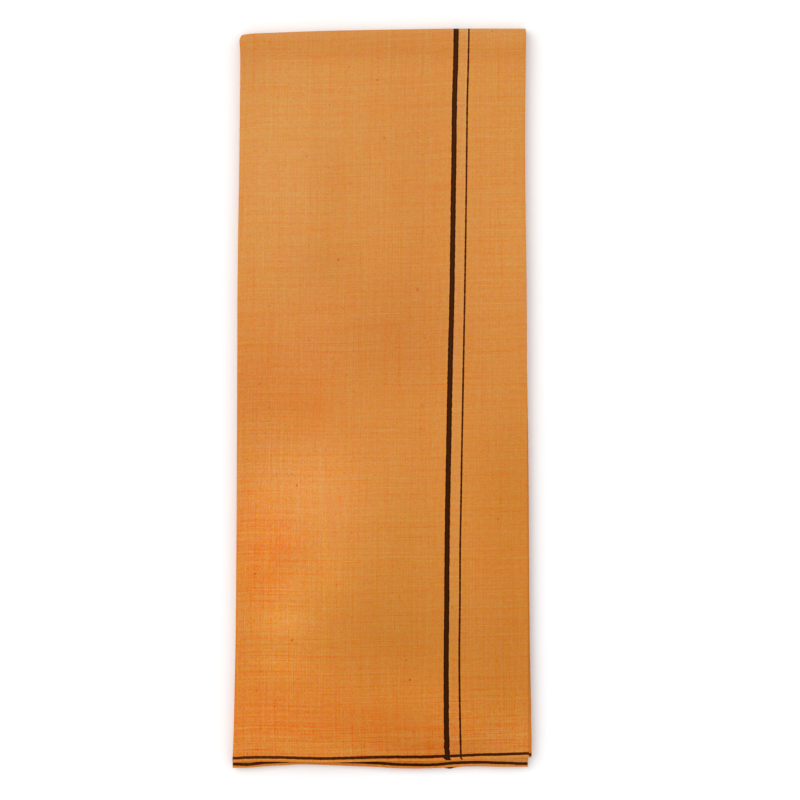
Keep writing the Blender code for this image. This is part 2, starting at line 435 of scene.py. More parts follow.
def striped_coordinates(centre, rows, u):
    """Distances from the cut end that put the two stripes in their places and run on evenly beyond them."""
    x = centre[:, :, 0] / MM
    y = centre[:, :, 1] / MM
    lower = ~rows["upper"][:, None]
    moved = np.where(lower, UNDER_STRIPE_SHIFT * eased((UNDER_SHIFT_FROM - y) / UNDER_SHIFT_OVER), 0.0)
    thick = smooth(THICK_LINE, y) + moved
    thin = smooth(THIN_LINE, y) + moved
    edge = x[:, :1]
    reach = (edge - x) * MM
    beside = U_THIN * reach / ((edge - thin) * MM)
    between = U_THIN + (U_THICK - U_THIN) * (thin - x) / (thin - thick)
    beyond = U_THICK + (thick - x) * MM
    on_leaf = np.where(x > thin, beside, np.where(x > thick, between, beyond))
    leftmost = np.argmin(x, axis=1)
    for r, c in enumerate(leftmost):
        on_leaf[r, c:] = on_leaf[r, c] + u[r, c:] - u[r, c]
    return on_leaf


def sheet_object(name, path, rows, sheet, material):
    """A thin closed sheet: its outer side, its inner side, and a round rim between them."""
    path = path.arrays()
    u, v = cloth_coordinates(path, rows, sheet)
    count_r, count_c = u.shape
    grid = np.arange(count_r * count_c).reshape(count_r, count_c)
    rim = [(0, c) for c in range(count_c - 1)]
    rim += [(r, count_c - 1) for r in range(count_r - 1)]
    rim += [(count_r - 1, c) for c in range(count_c - 1, 0, -1)]
    rim += [(r, 0) for r in range(count_r - 1, 0, -1)]
    rim_r = np.array([r for r, c in rim])
    rim_c = np.array([c for r, c in rim])
    outer = place_points(path, rows, sheet, 1.0)
    inner = place_points(path, rows, sheet, -1.0)
    points = [outer.reshape(-1, 3), inner.reshape(-1, 3)]
    maps = [np.stack([u, v], axis=-1).reshape(-1, 2)] * 2
    rings = [grid[rim_r, rim_c]]
    start = 2 * grid.size
    for level in RIM:
        ring = place_points(path, rows, sheet, level)[rim_r, rim_c]
        points.append(ring)
        maps.append(np.stack([u[rim_r, rim_c], v[rim_r, rim_c]], axis=-1))
        rings.append(np.arange(start, start + len(rim)))
        start += len(rim)
    rings.append(grid.size + grid[rim_r, rim_c])
    a, b, c, d = grid[:-1, :-1], grid[:-1, 1:], grid[1:, 1:], grid[1:, :-1]
    outside = np.stack([a, b, c, d], axis=-1).reshape(-1, 4)
    inside = outside[:, ::-1] + grid.size
    faces = [outside, inside]
    for ring, other in zip(rings, rings[1:]):
        ahead = np.roll(ring, -1)
        other_ahead = np.roll(other, -1)
        faces.append(np.stack([ring, other, other_ahead, ahead], axis=-1))
    points = np.concatenate(points)
    maps = np.concatenate(maps)
    faces = np.concatenate(faces)
    mesh = bpy.data.meshes.new(name)
    mesh.from_pydata(points.tolist(), [], faces.tolist())
    layer = mesh.uv_layers.new(name="cloth")
    layer.uv.foreach_set("vector", maps[faces.reshape(-1)].astype(np.float32).reshape(-1))
    if sheet["bake_map"]:
        layer = mesh.uv_layers.new(name="OFBake")
        layer.uv.foreach_set("vector", bake_places(outer, rows, rim_r, rim_c).astype(np.float32).reshape(-1))
    mesh.polygons.foreach_set("use_smooth", np.ones(len(mesh.polygons), bool))
    mesh.materials.append(material)
    mesh.update()
    if closed_volume(mesh) < 0:
        mesh.flip_normals()
    obj = bpy.data.objects.new(name, mesh)
    bpy.context.scene.collection.objects.link(obj)
    return obj


# Where a sheet's sides go on its bake map: the starts of the upper and lower halves, and how wide each is
BAKE_OUTER = (0.004, 0.414, 0.402)
BAKE_INNER = (0.824, 0.912, 0.080)
BAKE_EDGE = 0.004
BAKE_HALF = 0.925
BAKE_RIM = (0.940, 0.0135)


def bake_places(points, rows, rim_r, rim_c):
    """Corner places of every face on the bake map, in the faces' order, with most room for the outer side."""
    across = np.linalg.norm(np.diff(points, axis=1), axis=-1).mean(axis=0)
    along = np.linalg.norm(np.diff(points, axis=0), axis=-1).mean(axis=1)
    col = np.concatenate([[0.0], np.cumsum(across)]) / across.sum()
    row = np.concatenate([[0.0], np.cumsum(along)])
    head = int(np.argmin(np.abs(rows["turn"])))
    halves = ((0, head), (head, len(row) - 1))
    made = []
    for starts_and_width in (BAKE_OUTER, BAKE_INNER):
        side = np.empty((len(row) - 1, len(col) - 1, 4, 2))
        for start, (first, last) in zip(starts_and_width, halves):
            u = start + starts_and_width[2] * col
            v = BAKE_EDGE + BAKE_HALF * (row[first : last + 1] - row[first]) / (row[last] - row[first])
            spot = np.stack(np.broadcast_arrays(u[None, :], v[:, None]), axis=-1)
            corners = [spot[:-1, :-1], spot[:-1, 1:], spot[1:, 1:], spot[1:, :-1]]
            side[first:last] = np.stack(corners, axis=2)
        made.append(side.reshape(-1, 4, 2))
    made[1] = made[1][:, ::-1]
    ring = points[rim_r, rim_c]
    steps = np.linalg.norm(np.roll(ring, -1, axis=0) - ring, axis=-1)
    far = BAKE_EDGE + (1.0 - 2.0 * BAKE_EDGE) * np.concatenate([[0.0], np.cumsum(steps)]) / steps.sum()
    for level in range(len(RIM) + 1):
        low = BAKE_RIM[0] + BAKE_RIM[1] * level
        high = low + BAKE_RIM[1]
        corners = ((far[:-1], low), (far[:-1], high), (far[1:], high), (far[1:], low))
        spots = [np.stack(np.broadcast_arrays(*corner), axis=-1) for corner in corners]
        made.append(np.stack(spots, axis=1))
    return np.concatenate(made)


def closed_volume(mesh):
    """The volume inside a closed mesh, below zero where its faces point inwards."""
    mesh.calc_loop_triangles()
    corners = np.empty(len(mesh.loop_triangles) * 3, np.int32)
    mesh.loop_triangles.foreach_get("vertices", corners)
    points = np.empty(len(mesh.vertices) * 3, np.float32)
    mesh.vertices.foreach_get("co", points)
    triangles = points.reshape(-1, 3)[corners.reshape(-1, 3)].astype(float)
    return float(np.linalg.det(triangles).sum()) / 6.0


# Places on the flat cloth of what is woven into it, in metres from the cut end and from each selvedge
U_THIN = 0.0545
U_THICK = 0.0655
THICK_WIDTH = 0.0045
THIN_WIDTH = 0.00160
LINE_PLACE = 0.00335
LINE_WIDTH = 0.00245

# Soft spots where the selvedge lines are wider, nearer their edge in millimetres, or paler, by a share
LINE_COLUMNS = ("x", "y", "reach_x", "reach_y", "wider", "nearer", "paler")
LINE_SPOTS = (
    (33, -315, 45, 60, 0.09, 0.0, -0.26),
    (-125, -312, 60, 30, 0.0, 0.0, 0.42),
    (-115, -316, 9, 5, 0.0, 0.60, 0.0),
    (-98, -316, 26, 5, 0.0, 0.30, 0.0),
    (42, -316, 13, 5, 0.0, 0.35, 0.0),
    # Here the lower line is moved nearer its edge, and drawn narrower and a little paler as painted light
    # against the shadow that the top leaf casts on it
    (45, -316, 50, 4.5, -0.11, 0.30, 0.06),
    (123, -316, 13, 5, -0.10, 0.85, 0.0),
)

# The plain weave: its thread spacing in metres and how softly one thread gives way to the other. Then painted
# shade in its colour: how dark the low places between the threads are, and how much lighter their tops are
THREAD = 0.00043
CROSSING = 0.25
WEAVE_PAINTED_SHADE_LOW = 0.86
WEAVE_PAINTED_LIGHT_RISE = 0.24


class Tree:
    """Short ways to add nodes to a material."""

    def __init__(self, tree):
        self.tree = tree

    def feed(self, socket, value):
        if isinstance(value, bpy.types.NodeSocket):
            self.tree.links.new(value, socket)
        elif value is not None:
            socket.default_value = value

    def math(self, operation, *values, clamp=False):
        node = self.tree.nodes.new("ShaderNodeMath")
        node.operation = operation
        node.use_clamp = clamp
        for socket, value in zip(node.inputs, values):
            self.feed(socket, value)
        return node.outputs[0]

    def vector(self, operation, *values):
        node = self.tree.nodes.new("ShaderNodeVectorMath")
        node.operation = operation
        for socket, value in zip(node.inputs, values):
            self.feed(socket, value)
        if operation == "SCALE":
            self.feed(node.inputs["Scale"], values[1])
        return node.outputs["Value" if operation == "LENGTH" else "Vector"]

    def combine(self, x, y, z=0.0):
        node = self.tree.nodes.new("ShaderNodeCombineXYZ")
        for socket, value in zip(node.inputs, (x, y, z)):
            self.feed(socket, value)
        return node.outputs[0]

    def separate(self, vector):
        node = self.tree.nodes.new("ShaderNodeSeparateXYZ")
        self.feed(node.inputs[0], vector)
        return node.outputs

    def step(self, value, low, high, start=0.0, stop=1.0):
        """A smooth step of a value from one level to another as it goes from low to high."""
        node = self.tree.nodes.new("ShaderNodeMapRange")
        node.interpolation_type = "SMOOTHSTEP"
        names = ("Value", "From Min", "From Max", "To Min", "To Max")
        for name, item in zip(names, (value, low, high, start, stop)):
            self.feed(node.inputs[name], item)
        return node.outputs["Result"]

    def noise(self, vector, detail=0.0, roughness=0.5):
        """Noise from -1 to 1, mostly near 0, one wave for each unit of the vector."""
        node = self.tree.nodes.new("ShaderNodeTexNoise")
        node.noise_dimensions = "3D"
        node.normalize = True
        self.feed(node.inputs["Vector"], vector)
        node.inputs["Scale"].default_value = 1.0
        node.inputs["Detail"].default_value = detail
        node.inputs["Roughness"].default_value = roughness
        return self.math("MULTIPLY_ADD", node.outputs["Fac"], 2.0, -1.0)

    def mix(self, factor, a, b):
        node = self.tree.nodes.new("ShaderNodeMix")
        node.data_type = "RGBA"
        self.feed(node.inputs["Factor"], factor)
        self.feed(node.inputs[6], a)
        self.feed(node.inputs[7], b)
        return node.outputs[2]


def linear(red, green, blue):
    """A display colour from 0 to 255 as linear light."""
    made = []
    for value in (red / 255, green / 255, blue / 255):
        made.append(value / 12.92 if value <= 0.04045 else ((value + 0.055) / 1.055) ** 2.4)
    return tuple(made)


# How much light the scene throws on the cloth, where 1 shows pure white as white
LIGHT = 1.12

# Display colours under that light: the ground, then the thick stripe, the thin one and the selvedge lines
SAFFRON = (214, 137, 62)
BROWN_HEAD = (59, 24, 8)
BROWN_FOOT = (50, 17, 2)
THIN_HEAD = (80, 31, 5)
THIN_FOOT = (65, 24, 2)
LINE_BROWN = (67, 28, 3)

# Soft tints of the cloth, some of them painted shade and painted light as marked below: centre and reach in
# millimetres, and percent more red, green and blue
TINT_COLUMNS = ("x", "y", "reach_x", "reach_y", "red", "green", "blue")
TINTS_AND_PAINTED_SHADE = (
    (0, 330, 500, 300, 3, 11, 30),
    (0, -330, 500, 240, 4, -8, -33),
    (-83, 190, 60, 110, 5, 16, 46),
    # Painted shade: a darker band over the hollow just below the head fold; then painted light, its rim a
    # little lighter on the right
    (0, 297, 400, 8, -5, -12, -24),
    (-50, 306, 95, 7, -3, -8, -16),
    (110, 312, 45, 8, 0, 9, 26),
    (28, 180, 28, 110, -2, -6, -8),
    (7, 46, 65, 38, -6, -12, -16),
    (-110, 10, 45, 45, -1, -13, -16),
    (-57, 45, 34, 38, 3, -2, 4),
    (-62, -80, 48, 48, 16, 25, 58),
    (-105, -100, 22, 40, 8, 0, -3),
    (-103, -150, 26, 34, 10, -4, -19),
    (-85, -190, 26, 18, 14, 26, 47),
    (15, -205, 60, 50, -14, -10, -13),
    (105, -225, 40, 70, -14, -13, -16),
    (-95, -272, 60, 30, 7, -5, -7),
    (112, -292, 30, 14, 3, 3, 17),
    (45, -300, 60, 12, -12, -19, -16),
    (112, -80, 32, 85, -9, -10, -23),
    # Painted shadow: a narrow dark seam down the right edge, where the top leaf's cut end shades the fold
    # beside it
    (129, -190, 2.6, 190, -14, -22, -30),
    (108, -311.5, 36, 5.5, -3, 18, 50),
    # Painted light: the strip below the top leaf's foot made lighter, against the shadow that the top leaf
    # casts on it
    (78, -310.3, 60, 2.4, 16, 20, 12),
    # Painted shade: the head fold's rim a little darker in red and green along its whole length, against the
    # lamp's light on it
    (0, 315, 500, 7, -5, -4, 3),
    (-113, 284, 14, 18, -4, -4, 0),
    (88, -200, 14, 50, 2, 6, 14),
    (15, 86, 45, 28, -3, -5, -8),
    (-48, -150, 22, 26, 8, 14, 14),
    (-62, -10, 22, 24, 1, -12, -26),
    (24, -125, 40, 50, -6, -1, 0),
    (5, -280, 60, 16, -6, -16, -20),
    (-85, -228, 25, 14, 9, 12, 16),
    (-45, 185, 22, 50, -4, -11, -26),
    (-52, 115, 30, 24, -5, -11, -18),
    (-79, -122, 16, 12, 6, -5, -12),
    (-79, -160, 18, 12, 8, 14, 24),
    (118, 145, 25, 40, 3, 8, 12),
)


def spot_group():
    """A node group for one soft spot: its tint, full in its middle and nothing far off."""
    group = bpy.data.node_groups.new("soft_spot", "ShaderNodeTree")
    for name in ("Place", "Centre", "Reach", "Tint"):
        group.interface.new_socket(name, in_out="INPUT", socket_type="NodeSocketVector")
    group.interface.new_socket("Tint", in_out="OUTPUT", socket_type="NodeSocketVector")
    into = group.nodes.new("NodeGroupInput")
    out = group.nodes.new("NodeGroupOutput")
    tree = Tree(group)
    away = tree.vector("SUBTRACT", into.outputs["Place"], into.outputs["Centre"])
    away = tree.vector("DIVIDE", away, into.outputs["Reach"])
    far = tree.vector("LENGTH", away)
    near = tree.math("EXPONENT", tree.math("MULTIPLY", tree.math("MULTIPLY", far, far), -1.0))
    scaled = tree.vector("SCALE", into.outputs["Tint"], near)
    group.links.new(scaled, out.inputs[0])
    return group


def albedo(colour):
    """Linear colour that shows as the given display colour under the scene's light."""
    return tuple(value / LIGHT for value in linear(*colour))


# Uneven yarn: how strong each kind of it is, and what it does to the cloth's red, green and blue
STREAKS = 1.04
SPECKS = 0.38
DRIFT = 0.27
HUES = 0.50
DYED = 0.8
SPARKS = 0.62
FLECKS = 1.1
TONE_TINT = (-0.05, 0.42, 1.05)
HUE_TINT = (0.03, -0.10, 0.45)
DYED_TINT = (-0.02, 0.14, -0.55)
SPARK_TINT = (0.03, 0.0, 1.10)
FLECK_TINT = (-0.12, -0.55, -0.80)

# Noise of the yarn: waves a metre along and across the panel, a seed, and how much finer detail it has
SPECK_NOISE = (640.0, 640.0, 21.0)
HUE_NOISE = (260.0, 260.0, 23.0, 1.0, 0.6)
SPARK_NOISE = (560.0, 560.0, 25.0)
DRIFT_NOISE = (230.0, 230.0, 29.0, 1.0, 0.5)
# Dots of dye: how many a metre, radius in metres, and a seed, and how strong the small ones are
SMALL_DOTS = (75.0, 0.0006, 9.0)
LARGE_DOTS = (30.0, 0.0010, 4.0)
SMALL_SHARE = 0.6

# Long streaks of the yarn, fine and coarse: waves a metre along and across the thread, and strength
STREAK_KINDS = ((26.0, 950.0, 1.0), (11.0, 380.0, 0.45))
# How far apart threads' streaks start, in waves, and how much a few threads stand out
START_SPREAD = 9.0
STAND_OUT = 1.2
# Seeds of the streaks along the panel's width and along its length, in thickness and in dye
WIDTH_SEED = 3.0
LENGTH_SEED = 13.0
DYED_WIDTH_SEED = 33.0
DYED_LENGTH_SEED = 43.0
ALONG_U = 0.95
ALONG_V = 0.85
# Towards the foot the streaks along the panel's width are stronger: a soft spot and by how much
LOW_STREAKS = (0, -300, 400, 55, 0.45)

# How uneven the cloth's red, green and blue are, and soft spots where it is more uneven
ROUGH = (1.0, 1.01, 0.80)
ROUGH_COLUMNS = ("x", "y", "reach_x", "reach_y", "green", "blue")
ROUGH_SPOTS = (
    (0, -330, 500, 300, 0.0, 0.30),
    (-100, -145, 46, 125, 0.60, 0.88),
    (0, -300, 400, 55, 0.62, 0.60),
)

# Uneven edges of the stripes and lines: waves a metre along and across the panel, and a seed
RIPPLE = (260.0, 330.0, 37.0)
LINE_RIPPLE = (330.0, 260.0, 41.0)
BEADS = (100.0, 520.0, 43.0)
# How far those edges waver, and how soft they are, in metres
THICK_WAVER = 0.00028
FOOT_WAVER = 0.0005
THIN_WAVER = 0.00020
LINE_WAVER = 0.00025
MARK_EDGE = 0.00012
THIN_EDGE = 0.00010
# At the selvedge both stripes hook aside a little, in full at the first place and not at all past the second
HOOK_ENDS = (0.0003, 0.0014)
THICK_HOOK = -0.0009
THIN_HOOK = -0.0008
# How far up from the selvedge the thick stripe's edges waver more, and how far the browns go on changing
FOOT_REACH = 0.030
UP_REACH = 0.6
# What the cloth between the stripes, the threads beside them, and the thick stripe's middle have more of
GAP_TINT = (-0.01, 0.05, 0.22)
BESIDE_TINT = (0.05, 0.07, -0.05)
BESIDE_REACH = 0.0014
HEART_TINT = (0.35, 0.7, 0.1)
HEART_ENDS = (0.0002, 0.0016)
LINE_TINT = (1.0, 1.0, 0.0)

# Relief of the weave in the bump, in metres, how much of it is the streaks', and the roughness
BUMP_STRENGTH = 0.5
BUMP_DEPTH = 0.00012
STREAK_RELIEF = 0.5
ROUGH_LOW = 0.95
ROUGH_RISE = -0.10
EVEN = (1.0, 1.0, 1.0)


class Cotton(Tree):
    """The cloth's node tree, with the places on the flat cloth and in the frame that it reads."""

    def __init__(self, material):
        super().__init__(material.node_tree)
        self.spot_group = spot_group()
        flat = self.tree.nodes.new("ShaderNodeUVMap")
        flat.uv_map = "cloth"
        self.flat = flat.outputs[0]
        self.u, self.v, _ = self.separate(self.flat)
        self.place = self.tree.nodes.new("ShaderNodeTexCoord").outputs["Object"]

    def stretched(self, per_u, per_v, seed, detail=0.0, roughness=0.5):
        """Noise with so many waves a metre along and across the panel."""
        scaled = self.vector("MULTIPLY_ADD", self.flat, (per_u, per_v, 0.0), (0.0, 0.0, seed))
        return self.noise(scaled, detail, roughness)

    def soft_spot(self, x, y, reach_x, reach_y, strength):
        """A vector of the given strength in a spot's middle, fading to nothing far off."""
        node = self.tree.nodes.new("ShaderNodeGroup")
        node.node_tree = self.spot_group
        self.feed(node.inputs["Place"], self.place)
        node.inputs["Centre"].default_value = (x * MM, y * MM, 0.0)
        node.inputs["Reach"].default_value = (reach_x * MM, reach_y * MM, 1.0)
        node.inputs["Tint"].default_value = strength
        return node.outputs[0]

    def soft_spots(self, start, names, rows, strength_of):
        """An even vector with every spot of a table added, as strong as its row says."""
        total = self.combine(*start)
        for spot in rows:
            row = dict(zip(names, spot))
            added = self.soft_spot(row["x"], row["y"], row["reach_x"], row["reach_y"], strength_of(row))
            total = self.vector("ADD", total, added)
        return total

    def more(self, factors, tint, strength):
        """Factors of red, green and blue, with a tint added at a strength."""
        return self.vector("ADD", factors, self.vector("SCALE", tint, strength))

    def streaked(self, along_v, seed):
        """Streaks of the yarn along one way of the cloth."""
        across = self.u if along_v else self.v
        along = self.v if along_v else self.u
        total = None
        for per_along, per_across, strength in STREAK_KINDS:
            seed += 3.0
            # Each thread's streaks start at a place of their own, so that neighbours never line up
            thread = self.combine(self.math("MULTIPLY", across, per_across * 0.8), seed, 0.5)
            shifted = self.math("MULTIPLY", self.noise(thread), START_SPREAD)
            start = self.math("MULTIPLY_ADD", along, per_along, shifted)
            streak = self.noise(self.combine(start, self.math("MULTIPLY", across, per_across), seed))
            # A few threads stand out far more than the rest
            peaky = self.math("MULTIPLY_ADD", self.math("ABSOLUTE", streak), STAND_OUT, 1.0 - STAND_OUT / 3)
            streak = self.math("MULTIPLY", streak, self.math("MULTIPLY", peaky, strength))
            total = streak if total is None else self.math("ADD", total, streak)
        return total

    def dots(self, per_metre, radius, seed):
        """Sparse dots, so many a metre, each with a strength and a size of its own."""
        cells = self.tree.nodes.new("ShaderNodeTexVoronoi")
        cells.voronoi_dimensions = "2D"
        cells.feature = "F1"
        scaled = self.vector("MULTIPLY_ADD", self.flat, (per_metre, per_metre, 0.0), (seed, seed * 0.7, 0.0))
        self.feed(cells.inputs["Vector"], scaled)
        cells.inputs["Scale"].default_value = 1.0
        cells.inputs["Randomness"].default_value = 1.0
        strength, size, _ = self.separate(cells.outputs["Color"])
        reach = self.math("MULTIPLY_ADD", size, radius * per_metre, 0.5 * radius * per_metre)
        near = self.step(self.math("DIVIDE", cells.outputs["Distance"], reach), 0.3, 1.2, 1.0, 0.0)
        return self.math("MULTIPLY", near, self.math("POWER", strength, 2.0))

    def within(self, away, half, soft):
        """1 within a half width of a mark's middle and 0 beyond it, with a soft edge."""
        return self.step(self.math("SUBTRACT", away, half), -soft, soft, 1.0, 0.0)


def plain_weave(t):
    """(height, on_top): how high the threads stand, and where one along the panel's width is on top."""
    across_u = t.math("SINE", t.math("MULTIPLY", t.u, math.pi / THREAD))
    across_v = t.math("SINE", t.math("MULTIPLY", t.v, math.pi / THREAD))
    over = t.math("MULTIPLY", across_u, across_v)
    along_u = t.math("MULTIPLY", t.math("ABSOLUTE", across_v), t.math("MULTIPLY_ADD", over, 0.5, 0.5))
    along_v = t.math("MULTIPLY", t.math("ABSOLUTE", across_u), t.math("MULTIPLY_ADD", over, -0.5, 0.5))
    return t.math("MAXIMUM", along_u, along_v), t.step(over, -CROSSING, CROSSING)


def uneven_yarn(t, on_top):
    """(streaks, uneven): the streaks both ways, and factors of red, green and blue with all unevenness."""
    beneath = t.math("SUBTRACT", 1.0, on_top)
    *low_place, more_low = LOW_STREAKS
    low_down = t.separate(t.soft_spot(*low_place, (more_low, 0.0, 0.0)))[0]
    streak_u = t.math("MULTIPLY", t.streaked(False, WIDTH_SEED), t.math("ADD", low_down, ALONG_U))
    streak_v = t.math("MULTIPLY", t.streaked(True, LENGTH_SEED), ALONG_V)
    streaks = t.math("MULTIPLY_ADD", streak_u, on_top, t.math("MULTIPLY", streak_v, beneath))
    dyed_v = t.math("MULTIPLY", t.streaked(True, DYED_LENGTH_SEED), beneath)
    dyed = t.math("MULTIPLY_ADD", t.streaked(False, DYED_WIDTH_SEED), on_top, dyed_v)
    speck = t.stretched(*SPECK_NOISE)
    speck_hue = t.stretched(*HUE_NOISE)
    spark = t.stretched(*SPARK_NOISE)
    drift = t.stretched(*DRIFT_NOISE)
    tone = t.math("ADD", t.math("MULTIPLY", streaks, STREAKS), t.math("MULTIPLY", speck, SPECKS))
    tone = t.math("MULTIPLY_ADD", drift, DRIFT, tone)
    fleck = t.math("MULTIPLY_ADD", t.dots(*SMALL_DOTS), SMALL_SHARE, t.dots(*LARGE_DOTS))

    rough = t.soft_spots(ROUGH, ROUGH_COLUMNS, ROUGH_SPOTS, lambda row: (0.0, row["green"], row["blue"]))
    uneven = t.vector("SCALE", TONE_TINT, tone)
    uneven = t.more(uneven, HUE_TINT, t.math("MULTIPLY", speck_hue, HUES))
    uneven = t.more(uneven, DYED_TINT, t.math("MULTIPLY", dyed, DYED))
    uneven = t.more(uneven, SPARK_TINT, t.math("MULTIPLY", spark, SPARKS))
    uneven = t.vector("MULTIPLY", uneven, rough)
    uneven = t.more(uneven, FLECK_TINT, t.math("MULTIPLY", fleck, FLECKS))
    return streaks, t.vector("ADD", uneven, EVEN)


def marked(t, ground):
    """The ground's colour with the two stripes and the selvedge lines drawn over it."""
    hooked = t.step(t.v, *HOOK_ENDS, 1.0, 0.0)
    at_foot = t.step(t.v, 0.0, FOOT_REACH, 1.0, 0.0)
    u_thick = t.math("MULTIPLY_ADD", hooked, THICK_HOOK, U_THICK)
    u_thin = t.math("MULTIPLY_ADD", hooked, THIN_HOOK, U_THIN)
    from_thick = t.math("ABSOLUTE", t.math("SUBTRACT", t.u, u_thick))
    from_thin = t.math("ABSOLUTE", t.math("SUBTRACT", t.u, u_thin))
    waviness = t.math("MULTIPLY_ADD", at_foot, FOOT_WAVER, THICK_WAVER)
    thick_half = t.math("MULTIPLY_ADD", t.stretched(*RIPPLE), waviness, THICK_WIDTH / 2)
    thin_half = t.math("MULTIPLY_ADD", t.stretched(*BEADS), THIN_WAVER, THIN_WIDTH / 2)

    def line_changes(row):
        return (row["wider"] * LINE_WIDTH / 2, row["nearer"] * MM, row["paler"])

    line_spots = t.soft_spots((0.0, 0.0, 0.0), LINE_COLUMNS, LINE_SPOTS, line_changes)
    wider, nearer, paler = t.separate(line_spots)
    from_edge = t.math("MINIMUM", t.v, t.math("SUBTRACT", CLOTH_WIDTH, t.v))
    from_line = t.math("ABSOLUTE", t.math("SUBTRACT", t.math("ADD", from_edge, nearer), LINE_PLACE))
    line_half = t.math("ADD", wider, LINE_WIDTH / 2)
    line_half = t.math("MULTIPLY_ADD", t.stretched(*LINE_RIPPLE), LINE_WAVER, line_half)

    # The cloth between the stripes is a little paler, and so is the first thread or two beside them
    gap = t.math("MULTIPLY", t.step(t.u, U_THIN, U_THIN + MM), t.step(t.u, U_THICK - MM, U_THICK, 1.0, 0.0))
    beside_thick = t.step(from_thick, THICK_WIDTH / 2, THICK_WIDTH / 2 + BESIDE_REACH, 1.0, 0.0)
    beside_thin = t.step(from_thin, THIN_WIDTH / 2, THIN_WIDTH / 2 + BESIDE_REACH, 1.0, 0.0)
    pale = t.more(t.vector("SCALE", GAP_TINT, gap), BESIDE_TINT, t.math("MAXIMUM", beside_thick, beside_thin))
    ground = t.vector("MULTIPLY", ground, t.vector("ADD", pale, EVEN))

    # The stripes are darkest towards the foot, and the thick one is a little lighter along its middle
    up = t.step(t.v, 0.0, UP_REACH)
    heart = t.step(from_thick, *HEART_ENDS, 1.0, 0.0)
    thick_brown = t.mix(up, (*albedo(BROWN_FOOT), 1.0), (*albedo(BROWN_HEAD), 1.0))
    thick_brown = t.vector("MULTIPLY", thick_brown, t.more(EVEN, HEART_TINT, heart))
    thin_brown = t.mix(up, (*albedo(THIN_FOOT), 1.0), (*albedo(THIN_HEAD), 1.0))
    line_brown = t.vector("MULTIPLY", albedo(LINE_BROWN), t.more(EVEN, LINE_TINT, paler))
    colour = t.mix(t.within(from_line, line_half, MARK_EDGE), ground, line_brown)
    colour = t.mix(t.within(from_thin, thin_half, THIN_EDGE), colour, thin_brown)
    return t.mix(t.within(from_thick, thick_half, MARK_EDGE), colour, thick_brown)


def woven_cotton():
    """The one material of the cloth: matt saffron plain weave, with its stripes and selvedge lines."""
    material = bpy.data.materials.new("saffron_cotton")
    material.use_nodes = True
    shader = material.node_tree.nodes["Principled BSDF"]
    t = Cotton(material)
    height, on_top = plain_weave(t)
    streaks, uneven = uneven_yarn(t, on_top)

    def percent(row):
        return (row["red"] / 100, row["green"] / 100, row["blue"] / 100)

    # Soft tints over the ground, some of them painted shade and painted light
    tint = t.soft_spots(EVEN, TINT_COLUMNS, TINTS_AND_PAINTED_SHADE, percent)
    ground = t.vector("MULTIPLY", t.vector("MULTIPLY", albedo(SAFFRON), tint), uneven)
    # Painted shade of the weave: the colour darker in the low places between the threads and lighter on their
    # tops
    shade = t.math("MULTIPLY_ADD", height, WEAVE_PAINTED_LIGHT_RISE, WEAVE_PAINTED_SHADE_LOW)
    t.feed(shader.inputs["Base Color"], t.vector("SCALE", marked(t, ground), shade))
    bump = material.node_tree.nodes.new("ShaderNodeBump")
    bump.inputs["Strength"].default_value = BUMP_STRENGTH
    bump.inputs["Distance"].default_value = BUMP_DEPTH
    t.feed(bump.inputs["Height"], t.math("MULTIPLY_ADD", streaks, STREAK_RELIEF, height))
    t.feed(shader.inputs["Normal"], bump.outputs[0])
    t.feed(shader.inputs["Roughness"], t.math("MULTIPLY_ADD", height, ROUGH_RISE, ROUGH_LOW))
    shader.inputs["Specular IOR Level"].default_value = 0.04
    shader.inputs["Sheen Weight"].default_value = 0.035
    shader.inputs["Sheen Roughness"].default_value = 0.45
    shader.inputs["Sheen Tint"].default_value = (1.0, 0.62, 0.30, 1.0)
    return material


# Points of each sheet: rows on its upper leaf, over the head fold and on its lower leaf, and steps across
GRID_COLUMNS = ("sheet", "upper", "head", "lower", "across")
GRIDS = (
    ("end", 132, 22, 50, 100),
    ("middle", 52, 16, 36, 34),
    ("last", 36, 10, 70, 80),
)
# Where a sheet's points stand close together, in millimetres in from its sides, or up from its selvedge
SIDES_FINE = (0.0, 0.4, 1.2, 2.6, 4.8)
SIDES_PLAIN = (0.0, 1.5, 5.0)
FOOT_FINEST = (0.0, 0.5, 1.4, 3.0, 5.0, 8.0)
FOOT_FINE = (0.0, 0.5, 1.4, 3.0, 5.0)
FOOT_PLAIN = (0.0, 0.5, 1.5, 4.0)
FOOT_HIDDEN = (0.0, 0.6, 2.0, 5.0)

# The two outer panels run on past their left fold, tucked behind the next panel: places in millimetres, and
# the length of that cloth in metres
TUCK = (0.0, 1.5, 4.0, 8.0)
TUCK_LENGTH = 0.0085

# At the foot, how far each leaf steps in from the one outside it, how far the hidden leaves stand off the top
# leaf's selvedge and the one that shows, and how much they waver, in millimetres
END_STEP = 0.25
LAST_STEP = 0.2
MIDDLE_STEP = 0.125
OFF_TOP = 0.1
OFF_SHOWN = 1.2
HIDDEN_WAVER = 0.12
# The last panel's cut end stands in from the end panel's, and no further out than this
LAST_CUT_IN = 0.2
LAST_CUT_END = 125.5


def sheet_grid(name, near_side, near_upper, near_lower):
    """(fractions across, table of rows) of one sheet, with its places close to the sides and selvedges."""
    grid = next(dict(zip(GRID_COLUMNS, row)) for row in GRIDS if row[0] == name)
    upper = arm_places(grid["upper"], near_upper)
    lower = arm_places(grid["lower"], near_lower)
    return fractions(near_side, grid["across"]), row_table(upper, grid["head"], lower)


